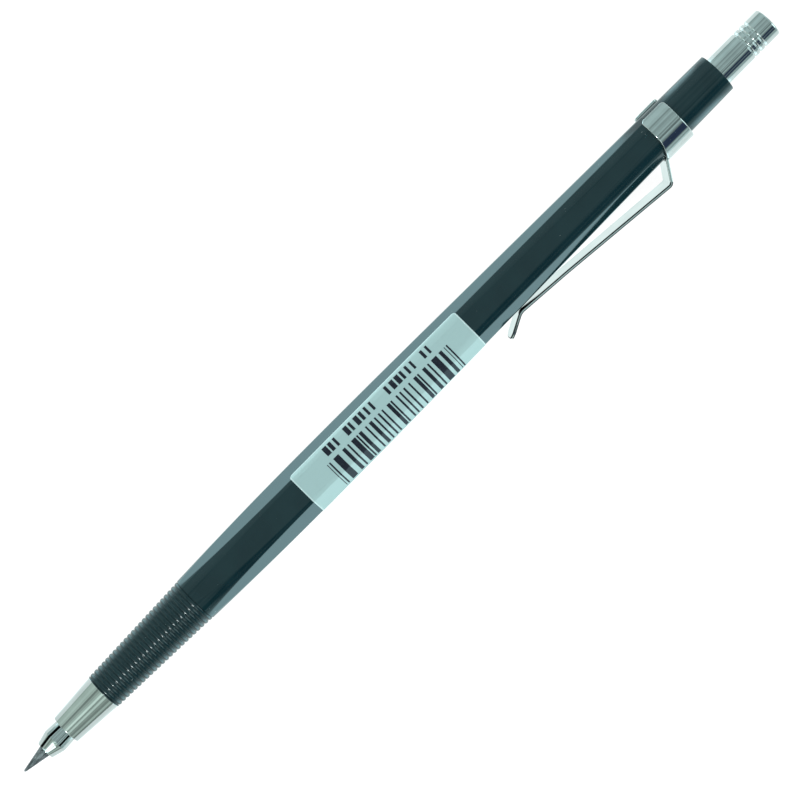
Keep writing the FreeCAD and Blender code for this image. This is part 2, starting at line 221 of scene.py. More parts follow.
class Look:
    """A principled material with a few helpers for its nodes."""

    def __init__(self, name, **constants):
        self.material = bpy.data.materials.new(name)
        self.material.use_nodes = True
        self.nodes = self.material.node_tree.nodes
        self.links = self.material.node_tree.links
        self.shader = self.nodes["Principled BSDF"]
        for socket, value in constants.items():
            self.shader.inputs[socket.replace("_", " ")].default_value = value
        self.place = self.nodes.new("ShaderNodeTexCoord").outputs["Object"]

    def node(self, kind, links=None, **settings):
        """A node with its settings and its linked inputs, by name or by number."""
        made = self.nodes.new("ShaderNode" + kind)
        for name, value in settings.items():
            if hasattr(made, name):
                setattr(made, name, value)
            else:
                made.inputs[name.replace("_", " ")].default_value = value
        for socket, source in (links or {}).items():
            self.links.new(source, made.inputs[socket])
        return made

    def put(self, socket, value):
        """Links a source to a socket, or sets the socket's own value."""
        if isinstance(value, bpy.types.NodeSocket):
            self.links.new(value, socket)
        else:
            socket.default_value = value

    def noise(self, stretch, detail=2.0, roughness=0.5):
        """Noise with grains about a millimetre long before its coordinates are stretched."""
        scale = [part / MM for part in stretch]
        place = self.node("Mapping", {"Vector": self.place}, Scale=scale).outputs["Vector"]
        settings = {"Scale": 1.0, "Detail": detail, "Roughness": roughness}
        return self.node("TexNoise", {"Vector": place}, **settings).outputs["Fac"]

    def ranged(self, source, low, high, new_low=0, new_high=1):
        """A value from one range to another, held at its ends."""
        ends = {"From_Min": low, "From_Max": high, "To_Min": new_low, "To_Max": new_high}
        return self.node("MapRange", {"Value": source}, **ends).outputs["Result"]

    def maths(self, operation, *values):
        """A value worked out from sources or numbers."""
        made = self.node("Math", operation=operation)
        for socket, value in zip(made.inputs, values):
            self.put(socket, value)
        return made.outputs["Value"]

    def mixed(self, factor, first, second):
        """Two colours mixed by a factor."""
        made = self.node("Mix", {"Factor": factor}, data_type="RGBA")
        for name, value in (("A", first), ("B", second)):
            socket = [i for i in made.inputs if i.name == name and i.type == "RGBA"][0]
            self.put(socket, (*value, 1) if isinstance(value, tuple) else value)
        return [o for o in made.outputs if o.type == "RGBA"][0]

    def bump(self, height, strength, depth_mm, after=None):
        """A normal from a height, added to another bump where there is one."""
        links = {"Height": height, "Normal": after} if after else {"Height": height}
        return self.node("Bump", links, Strength=strength, Distance=depth_mm * MM).outputs["Normal"]

    def feed(self, socket, source):
        """Links a source to one of the shader's inputs."""
        self.links.new(source, self.shader.inputs[socket])


def green_plastic():
    """Glossy moulded plastic, green so dark that it is nearly black, with handling marks."""
    look = Look("green_plastic", IOR=1.56)
    cloud = look.noise((0.25, 0.25, 0.25), detail=3)
    colour = look.mixed(
        look.ranged(cloud, 0.35, 0.65), (0.0035, 0.019, 0.024), (0.005, 0.0235, 0.029)
    )
    specks = look.noise((1.6, 3.2, 3.2), detail=1)
    look.feed("Base Color", look.mixed(
        look.ranged(specks, 0.79, 0.82), colour, (0.12, 0.16, 0.16)
    ))
    smudge = look.noise((0.5, 1.3, 1.3), detail=5, roughness=0.62)
    look.feed("Roughness", look.ranged(smudge, 0.35, 0.75, 0.055, 0.13))
    scratches = look.noise((0.35, 22, 22), detail=2)
    fine = look.bump(look.ranged(scratches, 0.62, 0.7), 0.05, 0.004)
    flow = look.noise((0.18, 0.7, 0.7), detail=1)
    look.feed("Normal", look.bump(flow, 0.25, 0.02, fine))
    return look.material


def chrome(name, turning=(24, 0.4, 0.4), tint=(0.77, 0.79, 0.785), base=0.03):
    """Bright plated metal with faint tool marks and a little haze."""
    look = Look(name, Metallic=1.0)
    haze = look.noise((0.4, 0.4, 0.4), detail=4)
    darker = tuple(0.9 * value for value in tint)
    look.feed("Base Color", look.mixed(look.ranged(haze, 0.35, 0.7), tint, darker))
    marks = look.noise(turning, detail=3, roughness=0.7)
    look.feed("Roughness", look.ranged(marks, 0.3, 0.75, base, base + 0.05))
    look.feed("Normal", look.bump(marks, 0.06, 0.004))
    return look.material


def steel(name, tint, base, turning):
    """Drawn or turned metal with clear tool marks."""
    look = Look(name, Metallic=1.0)
    marks = look.noise(turning, detail=4, roughness=0.7)
    darker = tuple(0.72 * value for value in tint)
    look.feed("Base Color", look.mixed(look.ranged(marks, 0.3, 0.7), darker, tint))
    look.feed("Roughness", look.ranged(marks, 0.3, 0.7, base, base + 0.15))
    look.feed("Normal", look.bump(marks, 0.2, 0.01))
    return look.material


def graphite():
    """Baked graphite and clay, smooth with a grey sheen and rubbed streaks."""
    look = Look("graphite", Metallic=0.6, IOR=1.7)
    streaks = look.noise((0.55, 5, 5), detail=5, roughness=0.65)
    grain = look.noise((16, 16, 16), detail=3, roughness=0.7)
    look.feed("Base Color", look.mixed(
        look.ranged(streaks, 0.4, 0.62), (0.04, 0.055, 0.062), (0.26, 0.30, 0.32)
    ))
    look.feed("Roughness", look.ranged(streaks, 0.3, 0.7, 0.32, 0.15))
    rough = look.bump(grain, 0.25, 0.01)
    look.feed("Normal", look.bump(streaks, 0.35, 0.02, rough))
    return look.material


PAPER = (0.35, 0.545, 0.545)
# Painted highlight: the paper's lighter colour near its ends and upper edge, and how far in it reaches.
PAPER_EDGE_HIGHLIGHT = (0.5, 0.7, 0.7)
EDGE_HIGHLIGHT_REACH = 0.24
INK = (0.009, 0.012, 0.022)
BARS_FROM, BARS_TO = 61.2, 85.3
BARS_TOP, BARS_BOTTOM = 2.8, 8.0
BAR_MODULES = 95
CELL_MODULES = 7
GUARD_MODULES = 3
# In modules from the start of a cell: the first bar's earliest start and least width, and the
# second bar's latest end and its width.
FIRST_BAR_FROM, FIRST_BAR_WIDTH = 0.9, 1.2
SECOND_BAR_TO, SECOND_BAR_WIDTH = 6.9, 1.1
DASHES_FROM, DASHES_TO = 61.9, 83.0
DASHES_TOP, DASHES_BOTTOM = 0.79, 2.07
DASH_CELL = 1.02
# In shares of a dash's cell, and the share of the cells that stay empty.
DASH_SHORTEST, DASH_SPREAD = 0.35, 0.45
DASHES_MISSING = 0.14


def label_paper():
    """Printed paper: a row of bars at random widths and a line of plain dashes, in faded ink.

    Its map runs in millimetres: stations along it, and the way round from its upper edge.
    """
    look = Look("label_paper", IOR=1.35)
    where = look.node("UVMap", uv_map="sheet").outputs["UV"]
    parts = look.node("SeparateXYZ", {"Vector": where}).outputs
    along, across = parts["X"], parts["Y"]
    operations = "ADD SUBTRACT MULTIPLY DIVIDE FLOOR GREATER_THAN LESS_THAN MAXIMUM".split()
    add, less, times, over, floor, above, below, most = (
        partial(look.maths, operation) for operation in operations
    )

    def inside(value, low, high):
        """1 between two limits, else 0."""
        return times(above(value, low), below(value, high))

    def printed(marks, left, right, top, bottom):
        """Marks that end at a rectangle's edges."""
        return times(times(marks, inside(along, left, right)), inside(across, top, bottom))

    def chance(cell, seed):
        """A random share for each cell, different for each seed."""
        noise = look.node("TexWhiteNoise", {"W": add(cell, seed)}, noise_dimensions="1D")
        return noise.outputs["Value"]

    def choice(cell, seed, count):
        """A random whole number below count for each cell."""
        return floor(times(chance(cell, seed), count))

    place = over(less(along, BARS_FROM), (BARS_TO - BARS_FROM) / BAR_MODULES)
    place = less(place, GUARD_MODULES)
    cell = floor(over(place, CELL_MODULES))
    within = less(place, times(cell, CELL_MODULES))
    start = add(choice(cell, 0.5, 2), FIRST_BAR_FROM)
    width = add(choice(cell, 90.5, 3), FIRST_BAR_WIDTH)
    end = less(SECOND_BAR_TO, choice(cell, 33.5, 2))
    first = inside(within, start, add(start, width))
    second = inside(within, less(end, SECOND_BAR_WIDTH), end)
    guard = above(look.maths("PINGPONG", place, 1), 0.5)
    outside = less(1, inside(place, 0, BAR_MODULES - 2 * GUARD_MODULES))
    bars = most(times(most(first, second), less(1, outside)), times(guard, outside))
    bars = printed(bars, BARS_FROM, BARS_TO, BARS_TOP, BARS_BOTTOM)

    place = over(along, DASH_CELL)
    cell = floor(place)
    length = add(times(chance(cell, 40.5), DASH_SPREAD), DASH_SHORTEST)
    dashes = times(below(less(place, cell), length), above(chance(cell, 71.5), DASHES_MISSING))
    dashes = printed(dashes, DASHES_FROM, DASHES_TO, DASHES_TOP, DASHES_BOTTOM)

    wear = look.noise((9, 9, 9), detail=4, roughness=0.7)
    inked = times(most(bars, dashes), look.ranged(wear, 0.3, 0.42, 0.88, 1.0))
    fibres = look.noise((4, 11, 11), detail=5, roughness=0.75)
    paper = look.mixed(look.ranged(fibres, 0.3, 0.7), tuple(0.95 * c for c in PAPER), PAPER)
    # Painted highlight: the paper turns lighter towards its two ends and its upper edge.
    from_middle = look.maths("ABSOLUTE", less(along, (LABEL_START + LABEL_END) / 2))
    from_end = less((LABEL_END - LABEL_START) / 2, from_middle)
    nearest = look.maths("MINIMUM", from_end, across)
    edge_highlight = look.ranged(nearest, EDGE_HIGHLIGHT_REACH, 0.5 * EDGE_HIGHLIGHT_REACH, 0, 1)
    look.feed("Base Color", look.mixed(inked, look.mixed(edge_highlight, paper, PAPER_EDGE_HIGHLIGHT), INK))
    look.feed("Roughness", look.ranged(fibres, 0.3, 0.7, 0.5, 0.62))
    look.feed("Normal", look.bump(fibres, 0.15, 0.008))
    return look.material


# -------- barrel

BARREL_NOSE_RADIUS = 2.985
GRIP_END = 34.0
GRIP_END_RADIUS = 3.625
CREST_STATION = 58.0
CREST_RADIUS = 4.02
TAPER_START = 84.0
TAPER_START_RADIUS = 3.859
BARREL_END_RADIUS = 3.168
BARREL_BORE_RADIUS = 2.4
THREAD_RADIUS = 2.3
THREAD_END = 22.5
BARREL_EDGE = 0.04

FLAT_COUNT = 6
FLAT_START = 34.5
FLAT_LEVEL_END = 80.0
FLAT_END = 127.5
FLAT_DISTANCE = 3.62
FLAT_END_DISTANCE = 3.242
FLAT_EDGE_SOFTNESS = 0.035
NO_FLAT = 20.0

RING_COUNT = 24
RING_PITCH = 0.763
FIRST_RING = 16.5
RING_DEPTH = 0.23
ROWS_PER_RING = 12
BODY_ROWS = 96
REAR_ROWS = 10
EDGE_BAND = 0.05
SLOPE_STEP = 0.004


def bow(run, whole_run, whole_drop):
    """How far a shallow arc has fallen at that run from its crest."""
    radius = (whole_run ** 2 + whole_drop ** 2) / (2 * whole_drop)
    return radius - np.sqrt(radius ** 2 - run ** 2)


def round_radius(station):
    """The radius of the round body, before rings and flats."""
    station = np.asarray(station, float)
    cone = np.interp(station, (BARREL_START, GRIP_END), (BARREL_NOSE_RADIUS, GRIP_END_RADIUS))
    taper = np.interp(station, (TAPER_START, BARREL_END), (TAPER_START_RADIUS, BARREL_END_RADIUS))

    def arched(end, end_radius):
        """The arc from the crest to an end of it."""
        whole_run = abs(end - CREST_STATION)
        run = np.clip(abs(station - CREST_STATION), 0, whole_run)
        return CREST_RADIUS - bow(run, whole_run, CREST_RADIUS - end_radius)

    front, rear = arched(GRIP_END, GRIP_END_RADIUS), arched(TAPER_START, TAPER_START_RADIUS)
    before = [station < GRIP_END, station < CREST_STATION, station < TAPER_START]
    return np.select(before, [cone, front, rear], taper)


def flat_distance(station):
    """How far the flats are from the axis, or well outside where there are none."""
    ends = (FLAT_LEVEL_END, FLAT_END)
    distance = np.interp(station, ends, (FLAT_DISTANCE, FLAT_END_DISTANCE))
    return np.where((station < FLAT_START) | (station > FLAT_END), NO_FLAT, distance)


def ring_inset(station):
    """How far the surface sinks between the round-topped grip rings."""
    place = (station - FIRST_RING) / RING_PITCH
    offset = place - np.round(place)
    inside = (place > -0.5) & (place < RING_COUNT - 0.5)
    return np.where(inside, bow(offset * RING_PITCH, RING_PITCH / 2, RING_DEPTH), 0)


def outer_radius(station):
    """The radius of the round body with its rings."""
    return round_radius(station) - ring_inset(station)


def slope_of(shape, station):
    """How steeply a shape rises at a station."""
    return (shape(station + SLOPE_STEP) - shape(station - SLOPE_STEP)) / (2 * SLOPE_STEP)


def section(station, outer, angle):
    """The barrel's radius with the flats taken off, how far it is flat, and the angle to the flat."""
    sector = math.tau / FLAT_COUNT
    from_flat = (angle + sector / 2) % sector - sector / 2
    flat = flat_distance(station) / np.cos(from_flat)
    share = np.clip(0.5 + 0.5 * (flat - outer) / FLAT_EDGE_SOFTNESS, 0, 1)
    radius = flat * (1 - share) + outer * share - FLAT_EDGE_SOFTNESS * share * (1 - share)
    return radius, 1 - share, from_flat


def column_angles(station, outer):
    """Angles all the way round, gathered at the edges of the flats at that station."""
    sector = math.tau / FLAT_COUNT
    ratio = np.clip(flat_distance(station) / outer, 0, 1)
    edge = np.clip(np.arccos(ratio), 2 * EDGE_BAND, sector / 2 - 2 * EDGE_BAND)
    bands = (-edge - EDGE_BAND, -edge + EDGE_BAND, edge - EDGE_BAND, edge + EDGE_BAND)
    stops = [-sector / 2, *bands, sector / 2]
    steps = (4, 6, 6, 6, 4)
    one = np.concatenate([
        np.linspace(a, b, n, endpoint=False) for a, b, n in zip(stops, stops[1:], steps)
    ])
    return np.concatenate([one + side * sector for side in range(FLAT_COUNT)])


def barrel_surface(stations, outers, lift=0.0, columns=None):
    """Rings of points and normals over the barrel's outside at those stations and radii."""
    points, normals = [], []
    for row, (station, outer) in enumerate(zip(stations, outers)):
        angle = column_angles(station, outer) if columns is None else columns[row]
        radius, flat_share, from_flat = section(station, outer, angle)
        round_normal = heading(-slope_of(outer_radius, station), 1.0, angle)
        flat_slope = slope_of(flat_distance, station)
        if abs(flat_slope) > 1:  # The step where the flats begin or end is no slope.
            flat_slope = 0.0
        flat_normal = heading(-flat_slope, 1.0, angle - from_flat)
        flat_share = flat_share[:, None]
        points.append(at(station, radius + lift, angle))
        normals.append(unit(round_normal * (1 - flat_share) + flat_normal * flat_share))
    return np.array(points), np.array(normals)


def barrel_stations():
    """Where the outside's rings of points are, close together over the grip."""
    rings = np.linspace(
        FIRST_RING - RING_PITCH / 2,
        FIRST_RING + (RING_COUNT - 0.5) * RING_PITCH,
        RING_COUNT * ROWS_PER_RING + 1,
    )
    body = np.linspace(rings[-1] + 0.02, FLAT_END - 0.01, BODY_ROWS)
    rear = np.linspace(FLAT_END + 0.01, BARREL_END, REAR_ROWS)[:-1]
    return np.concatenate([rings, body, rear])


def quarter(station, outer, rounding, side):
    """(station, radius, along, outward) round an end's edge, side -1 in front and +1 behind."""
    turns = np.linspace(0, math.pi / 2, ARC_STEPS + 1)[::side]
    along, outward = side * np.sin(turns), np.cos(turns)
    stations = station - rounding * (side - along)
    return list(zip(stations, outer - rounding * (1 - outward), along, outward))


def make_barrel(material):
    """One closed shell: the outside, the two ends, and a bore that is narrower round the thread."""
    stations = barrel_stations()
    angles = column_angles(BARREL_START, BARREL_NOSE_RADIUS)
    front = [
        (BARREL_START, THREAD_RADIUS + BARREL_EDGE, -1, 0),
        *quarter(BARREL_START, BARREL_NOSE_RADIUS, BARREL_EDGE, -1),
    ]
    rear = [
        *quarter(BARREL_END, BARREL_END_RADIUS, BARREL_EDGE, 1),
        (BARREL_END, BARREL_BORE_RADIUS + BARREL_EDGE, 1, 0),
        (BARREL_END - BARREL_EDGE, BARREL_BORE_RADIUS, 0, -1),
        (THREAD_END + 0.02, BARREL_BORE_RADIUS, 0, -1),
        (THREAD_END, THREAD_RADIUS, 0, -1),
        (BARREL_START + BARREL_EDGE, THREAD_RADIUS, 0, -1),
    ]

    def rings(rows):
        places = np.array([at(s, r, angles) for s, r, _, _ in rows])
        return places, np.array([heading(a, o, angles) for _, _, a, o in rows])

    parts = rings(front), barrel_surface(stations, outer_radius(stations)), rings(rear)
    points, normals = (np.concatenate(rows) for rows in zip(*parts))
    return skin("barrel_shell", points, normals, material, loop=True)


# -------- label

LABEL_FROM_ANGLE = math.radians(-46.0)
LABEL_TO_ANGLE = math.radians(118.0)
LABEL_CORNER = 0.64
LABEL_LIFT = 0.045
LABEL_THICKNESS = 0.05
LABEL_ROWS = 40
LABEL_COLUMNS = 121
LABEL_CORNER_STEPS = 6


def make_label(material):
    """A sheet of paper over the upper flat and down one side, its corners round."""
    inset = LABEL_CORNER * (1 - np.cos(np.linspace(0, math.pi / 2, LABEL_CORNER_STEPS + 1)))
    stations = np.concatenate([
        LABEL_START + inset[:-1],
        np.linspace(LABEL_START + LABEL_CORNER, LABEL_END - LABEL_CORNER, LABEL_ROWS),
        LABEL_END - inset[::-1][1:],
    ])
    from_end = np.minimum(stations - LABEL_START, LABEL_END - stations)
    gap = np.clip(LABEL_CORNER - from_end, 0, LABEL_CORNER)
    pulled = (LABEL_CORNER - np.sqrt(LABEL_CORNER ** 2 - gap ** 2)) / FLAT_DISTANCE
    share = np.linspace(0, 1, LABEL_COLUMNS)
    low = LABEL_FROM_ANGLE + pulled[:, None]
    high = LABEL_TO_ANGLE - pulled[:, None]
    columns = low + share[None, :] * (high - low)
    outers = round_radius(stations)
    points, normals = barrel_surface(stations, outers, LABEL_LIFT, columns)
    under, _ = barrel_surface(stations, outers, LABEL_LIFT - LABEL_THICKNESS, columns)
    index = np.arange(columns.size).reshape(columns.shape)
    outline = [*index[0, :-1], *index[:-1, -1], *index[-1, :0:-1], *index[:0:-1, 0]]
    faces = grid_faces(index)
    sheet_faces = len(faces)
    faces += [tuple(columns.size + vertex for vertex in face[::-1]) for face in faces]
    for here, ahead in zip(outline, outline[1:] + outline[:1]):
        faces.append((ahead, here, here + columns.size, ahead + columns.size))
    both = np.concatenate([points.reshape(-1, 3), under.reshape(-1, 3)])
    piece = new_piece("paper_label", both, faces, material)
    mesh = piece.data
    facing = np.concatenate([normals.reshape(-1, 3), -normals.reshape(-1, 3)])
    corner_normals = []
    for polygon in mesh.polygons:
        flat = polygon.index >= 2 * sheet_faces
        for vertex in polygon.vertices:
            corner_normals.append(tuple(polygon.normal if flat else facing[vertex]))
    mesh.normals_split_custom_set(corner_normals)
    around = (columns - LABEL_FROM_ANGLE) * FLAT_DISTANCE
    along = np.broadcast_to(stations[:, None], columns.shape)
    sheet = np.stack([along, around], axis=-1).reshape(-1, 2)
    layer = mesh.uv_layers.new(name="sheet")
    for loop in mesh.loops:
        layer.data[loop.index].uv = sheet[loop.vertex_index % columns.size]
    return piece


# -------- turned pieces

THREAD_PITCH = 0.5
THREAD_DEPTH = 0.16
THREAD_MARGIN = 0.4
SLEEVE_TIP_RADIUS = 2.345
SLEEVE_REAR_RADIUS = 2.88
SLEEVE_MOUTH_RADIUS = 1.88
SLEEVE_MOUTH_DEPTH = 0.8
SLEEVE_BORE_RADIUS = 1.75
SHOULDER_GAP = 0.005


def make_sleeve(material):
    """The nose cone, open in front for the collet, and its thread inside the barrel."""
    root = THREAD_RADIUS - THREAD_DEPTH
    shoulder = BARREL_START - SHOULDER_GAP
    ridges = []
    start = BARREL_START + THREAD_MARGIN
    while start + THREAD_PITCH < SLEEVE_END - THREAD_MARGIN:
        ridges += [(start, root, 0.04), (start + THREAD_PITCH / 2, THREAD_RADIUS, 0.04)]
        start += THREAD_PITCH
    corners = [
        (SLEEVE_START, SLEEVE_MOUTH_RADIUS, 0.05),
        (SLEEVE_START, SLEEVE_TIP_RADIUS, 0.09),
        (shoulder, SLEEVE_REAR_RADIUS, 0.05),
        (shoulder, THREAD_RADIUS - 0.1, 0.03),
        *ridges,
        (start, root, 0.04),
        (SLEEVE_END, root, 0.08),
        (SLEEVE_END, SLEEVE_BORE_RADIUS, 0.06),
        (SLEEVE_START + SLEEVE_MOUTH_DEPTH, SLEEVE_BORE_RADIUS, 0.05),
    ]
    return turned("sleeve", corners, material)


BUTTON_BORE_RADIUS = 1.65
BUTTON_BORE_END = 148.6
GROOVE_FIRST = 145.2
GROOVE_PITCH = 1.0
GROOVE_COUNT = 3
GROOVE_WIDTH = 0.48
GROOVE_FLOOR_WIDTH = 0.2
GROOVE_DEPTH = 0.13


def make_button(material):
    """A cap over the lead tube, with three round-edged grooves near its end."""
    floor_radius = BUTTON_RADIUS - GROOVE_DEPTH
    grooves = []
    for number in range(GROOVE_COUNT):
        middle = GROOVE_FIRST + number * GROOVE_PITCH
        grooves += [
            (middle - GROOVE_WIDTH / 2, BUTTON_RADIUS, 0.12),
            (middle - GROOVE_FLOOR_WIDTH / 2, floor_radius, 0.1),
            (middle + GROOVE_FLOOR_WIDTH / 2, floor_radius, 0.1),
            (middle + GROOVE_WIDTH / 2, BUTTON_RADIUS, 0.12),
        ]
    corners = [
        (BUTTON_BORE_END, 0, 0),
        (BUTTON_BORE_END, BUTTON_BORE_RADIUS, 0.1),
        (BUTTON_START, BUTTON_BORE_RADIUS, 0.08),
        (BUTTON_START, BUTTON_RADIUS, 0.12),
        *grooves,
        (BUTTON_END, BUTTON_RADIUS, 0.3),
        (BUTTON_END, 0, 0),
    ]
    return turned("button_cap", corners, material, loop=False)


POINTER_MOUTH_RADIUS = 1.1
POINTER_CONE_DEPTH = 5.6


def make_pointer(material):
    """The plug in the button's bore, with a deep cone that the lead is turned in."""
    corners = [
        (POINTER_START + POINTER_CONE_DEPTH, 0, 0),
        (POINTER_START, POINTER_MOUTH_RADIUS, 0.05),
        (POINTER_START, BUTTON_BORE_RADIUS, 0.08),
        (POINTER_END, BUTTON_BORE_RADIUS, 0.05),
        (POINTER_END, 0, 0),
    ]
    return turned("pointer_cone", corners, material, loop=False)


TUBE_BORE_RADIUS = 1.3


def make_ring(name, ends, radii, roundings, material):
    """A plain tube. Its edges' roundings start at the front of its bore and go out and back."""
    (start, end), (inner, outer) = ends, radii
    spots = [(start, inner), (start, outer), (end, outer), (end, inner)]
    return turned(name, [(*spot, size) for spot, size in zip(spots, roundings)], material)


# -------- lead

POINT_LENGTH = 4.35
POINT_TIP_RADIUS = 0.15
SHARPENING_CUTS = 9
CUT_REACH = 1.2
CUTS_FADE_END = 1.2
CUT_DEPTHS = (0.94, 0.975)
CUT_JITTER = 0.12
TIP_ROWS = ((0.0, 0.0), (0.012, 0.06), (0.05, 0.115))
POINT_ROWS = 24
LEAD_COLUMNS = 120
LEAD_EDGE = 0.04


def make_lead(material):
    """The lead, its point ground to many long narrow cuts and rounded at the tip."""
    dice = np.random.default_rng(7)
    angles = np.linspace(0, math.tau, LEAD_COLUMNS, endpoint=False)
    cuts = np.arange(SHARPENING_CUTS) * math.tau / SHARPENING_CUTS
    cuts = cuts + dice.uniform(-CUT_JITTER, CUT_JITTER, SHARPENING_CUTS)
    depths = dice.uniform(*CUT_DEPTHS, SHARPENING_CUTS)
    swings = (angles[:, None] - cuts[None, :] + math.pi) % math.tau - math.pi
    chords = depths[None, :] / np.cos(np.clip(swings, -CUT_REACH, CUT_REACH))
    chords = np.where(np.abs(swings) < CUT_REACH, chords, 1.0)
    faceted = np.minimum(chords.min(axis=1), 1.0)
    slope = (LEAD_RADIUS - POINT_TIP_RADIUS) / POINT_LENGTH
    cone = np.linspace(0.14, POINT_LENGTH - 0.02, POINT_ROWS)
    rows = [(station, POINT_TIP_RADIUS + slope * station) for station in cone]
    points = []
    for station, radius in [*TIP_ROWS, *rows]:
        share = min(1.0, station / CUTS_FADE_END)
        points.append(at(station, radius * (1 - share + share * faceted), angles))
    stations = [*np.linspace(POINT_LENGTH + 0.06, POINT_LENGTH + 0.5, 4), LEAD_LENGTH - LEAD_EDGE]
    body = [(station, LEAD_RADIUS) for station in stations]
    body += [(LEAD_LENGTH, LEAD_RADIUS - LEAD_EDGE), (LEAD_LENGTH, 0.0)]
    points = np.array(points + [at(*row, angles) for row in body])
    along = np.gradient(points, axis=0)
    around = np.roll(points, -1, axis=1) - np.roll(points, 1, axis=1)
    normals = np.cross(around, along)
    normals[0] = (-1, 0, 0)
    normals[-1] = (1, 0, 0)
    return skin("lead_stick", points, unit(normals), material)


# -------- collet

JAW_COUNT = 3
JAW_SLIT = 0.42
COLLET_BORE_RADIUS = 1.02
FINGER_RADIUS = 1.5
FINGER_END = 22.0
FIRST_SLIT_ANGLE = math.radians(-31.0)
JAW_OUTLINE = (
    (4.25, 1.42),
    (4.3, 1.46),
    (6.1, 1.937),
    (6.2, 1.955),
    (6.32, 1.952),
    (8.6, 1.8235),
    (8.72, 1.815),
    (10.6, FINGER_RADIUS),
    (FINGER_END, FINGER_RADIUS),
)
OUTER_STEPS = 22
INNER_STEPS = 12
JAW_EDGE = 0.035
SHARP_ANGLE = math.radians(35)


def make_base(material):
    """The collet's root, which its three fingers grow from, let into the lead tube."""
    corners = [
        (BASE_START, COLLET_BORE_RADIUS, 0.04),
        (BASE_START, FINGER_RADIUS, 0.04),
        (BASE_START + 0.1, TUBE_RADIUS, 0.05),
        (TUBE_START, TUBE_RADIUS, 0.03),
        (TUBE_START, TUBE_BORE_RADIUS, 0.03),
        (BASE_END, TUBE_BORE_RADIUS, 0.06),
        (BASE_END, COLLET_BORE_RADIUS, 0.04),
    ]
    return turned("collet_root", corners, material)


def end_caps(index):
    """Strips of faces across a jaw's two ends, from its outside to its bore."""
    steps = np.arange(OUTER_STEPS) * (INNER_STEPS - 1) // (OUTER_STEPS - 1)
    front, rear = (
        [ring[:OUTER_STEPS], ring[OUTER_STEPS:][::-1][steps]] for ring in (index[0], index[-1])
    )
    return grid_faces(np.stack(front[::-1])) + grid_faces(np.stack(rear))


def broken_edges(piece):
    """Rounds a jaw's sharp edges, keeps its flat faces flat, and applies both modifiers."""
    bevel = piece.modifiers.new("edges", "BEVEL")
    bevel.width = JAW_EDGE * MM
    bevel.segments = 3
    bevel.limit_method = "ANGLE"
    bevel.angle_limit = SHARP_ANGLE
    weighted = piece.modifiers.new("normals", "WEIGHTED_NORMAL")
    weighted.keep_sharp = True
    bpy.context.view_layer.update()
    whole = piece.evaluated_get(bpy.context.evaluated_depsgraph_get())
    mesh = bpy.data.meshes.new_from_object(whole)
    piece.modifiers.clear()
    piece.data = mesh
    return piece


def make_jaw(number, material, slit_shade_material):
    """One third of the collet: a long thin finger with a thick head, its edges broken."""
    first = FIRST_SLIT_ANGLE + number * math.tau / JAW_COUNT
    last = first + math.tau / JAW_COUNT
    inner_gap = math.asin(JAW_SLIT / 2 / COLLET_BORE_RADIUS)
    inner = np.linspace(last - inner_gap, first + inner_gap, INNER_STEPS)
    rings = []
    for station, radius in JAW_OUTLINE:
        outer_gap = math.asin(JAW_SLIT / 2 / radius)
        outer = np.linspace(first + outer_gap, last - outer_gap, OUTER_STEPS)
        sides = [at(station, radius, outer), at(station, COLLET_BORE_RADIUS, inner)]
        rings.append(np.concatenate(sides))
    points = np.array(rings)
    index = np.arange(points.shape[0] * points.shape[1]).reshape(points.shape[:2])
    faces = grid_faces(np.hstack([index, index[:, :1]])) + end_caps(index)
    piece = new_piece(f"jaw_{number + 1}", points.reshape(-1, 3), faces, material)
    piece.data.materials.append(slit_shade_material)
    around = OUTER_STEPS + INNER_STEPS
    # The slit walls and the bore take the second material, painted shade that darkens the slits.
    for polygon in piece.data.polygons:
        on_side = polygon.index < around * (len(JAW_OUTLINE) - 1)
        polygon.material_index = int(on_side and polygon.index % around >= OUTER_STEPS - 1)
    return broken_edges(piece)


# -------- spring

SPRING_WIRE_RADIUS = 0.175
SPRING_GAP = 0.2
SPRING_TURNS = 11
CLOSED_TURNS = 1.5
STEPS_PER_TURN = 40
WIRE_COLUMNS = 12


def make_spring(material):
    """A round wire coiled with its last turns closed."""
    coil_radius = SPRING_OUTER_RADIUS - SPRING_WIRE_RADIUS
    start = SLEEVE_END + SPRING_GAP
    length = COLLAR_START - SPRING_GAP - start
    closed_rise = CLOSED_TURNS * 2 * SPRING_WIRE_RADIUS
    turns = np.linspace(0, SPRING_TURNS, SPRING_TURNS * STEPS_PER_TURN + 1)
    stops = [0, CLOSED_TURNS, SPRING_TURNS - CLOSED_TURNS, SPRING_TURNS]
    rises = [0, closed_rise, length - closed_rise, length]
    stations = start + np.interp(turns, stops, rises)
    angles = turns * math.tau
    lean = np.gradient(stations) / (np.gradient(angles) * coil_radius)
    around = np.linspace(0, math.tau, WIRE_COLUMNS, endpoint=False)
    along, outward = np.cos(around), np.sin(around)
    points, normals = [], []
    for station, angle, tilt in zip(stations, angles, lean):
        swing = angle - along * tilt * SPRING_WIRE_RADIUS / coil_radius
        radius = coil_radius + outward * SPRING_WIRE_RADIUS
        points.append(at(station + along * SPRING_WIRE_RADIUS, radius, swing))
        normals.append(heading(along, outward, swing))
    ends = [np.tile(points[end].mean(axis=0), (WIRE_COLUMNS, 1)) for end in (0, -1)]
    cap = np.tile(np.cross(normals[0][0], normals[0][WIRE_COLUMNS // 4]), (WIRE_COLUMNS, 1))
    points = np.array([ends[0], *points, ends[1]])
    normals = np.array([cap, *normals, -cap])
    return skin("coil_spring", points, normals, material)


# -------- clip

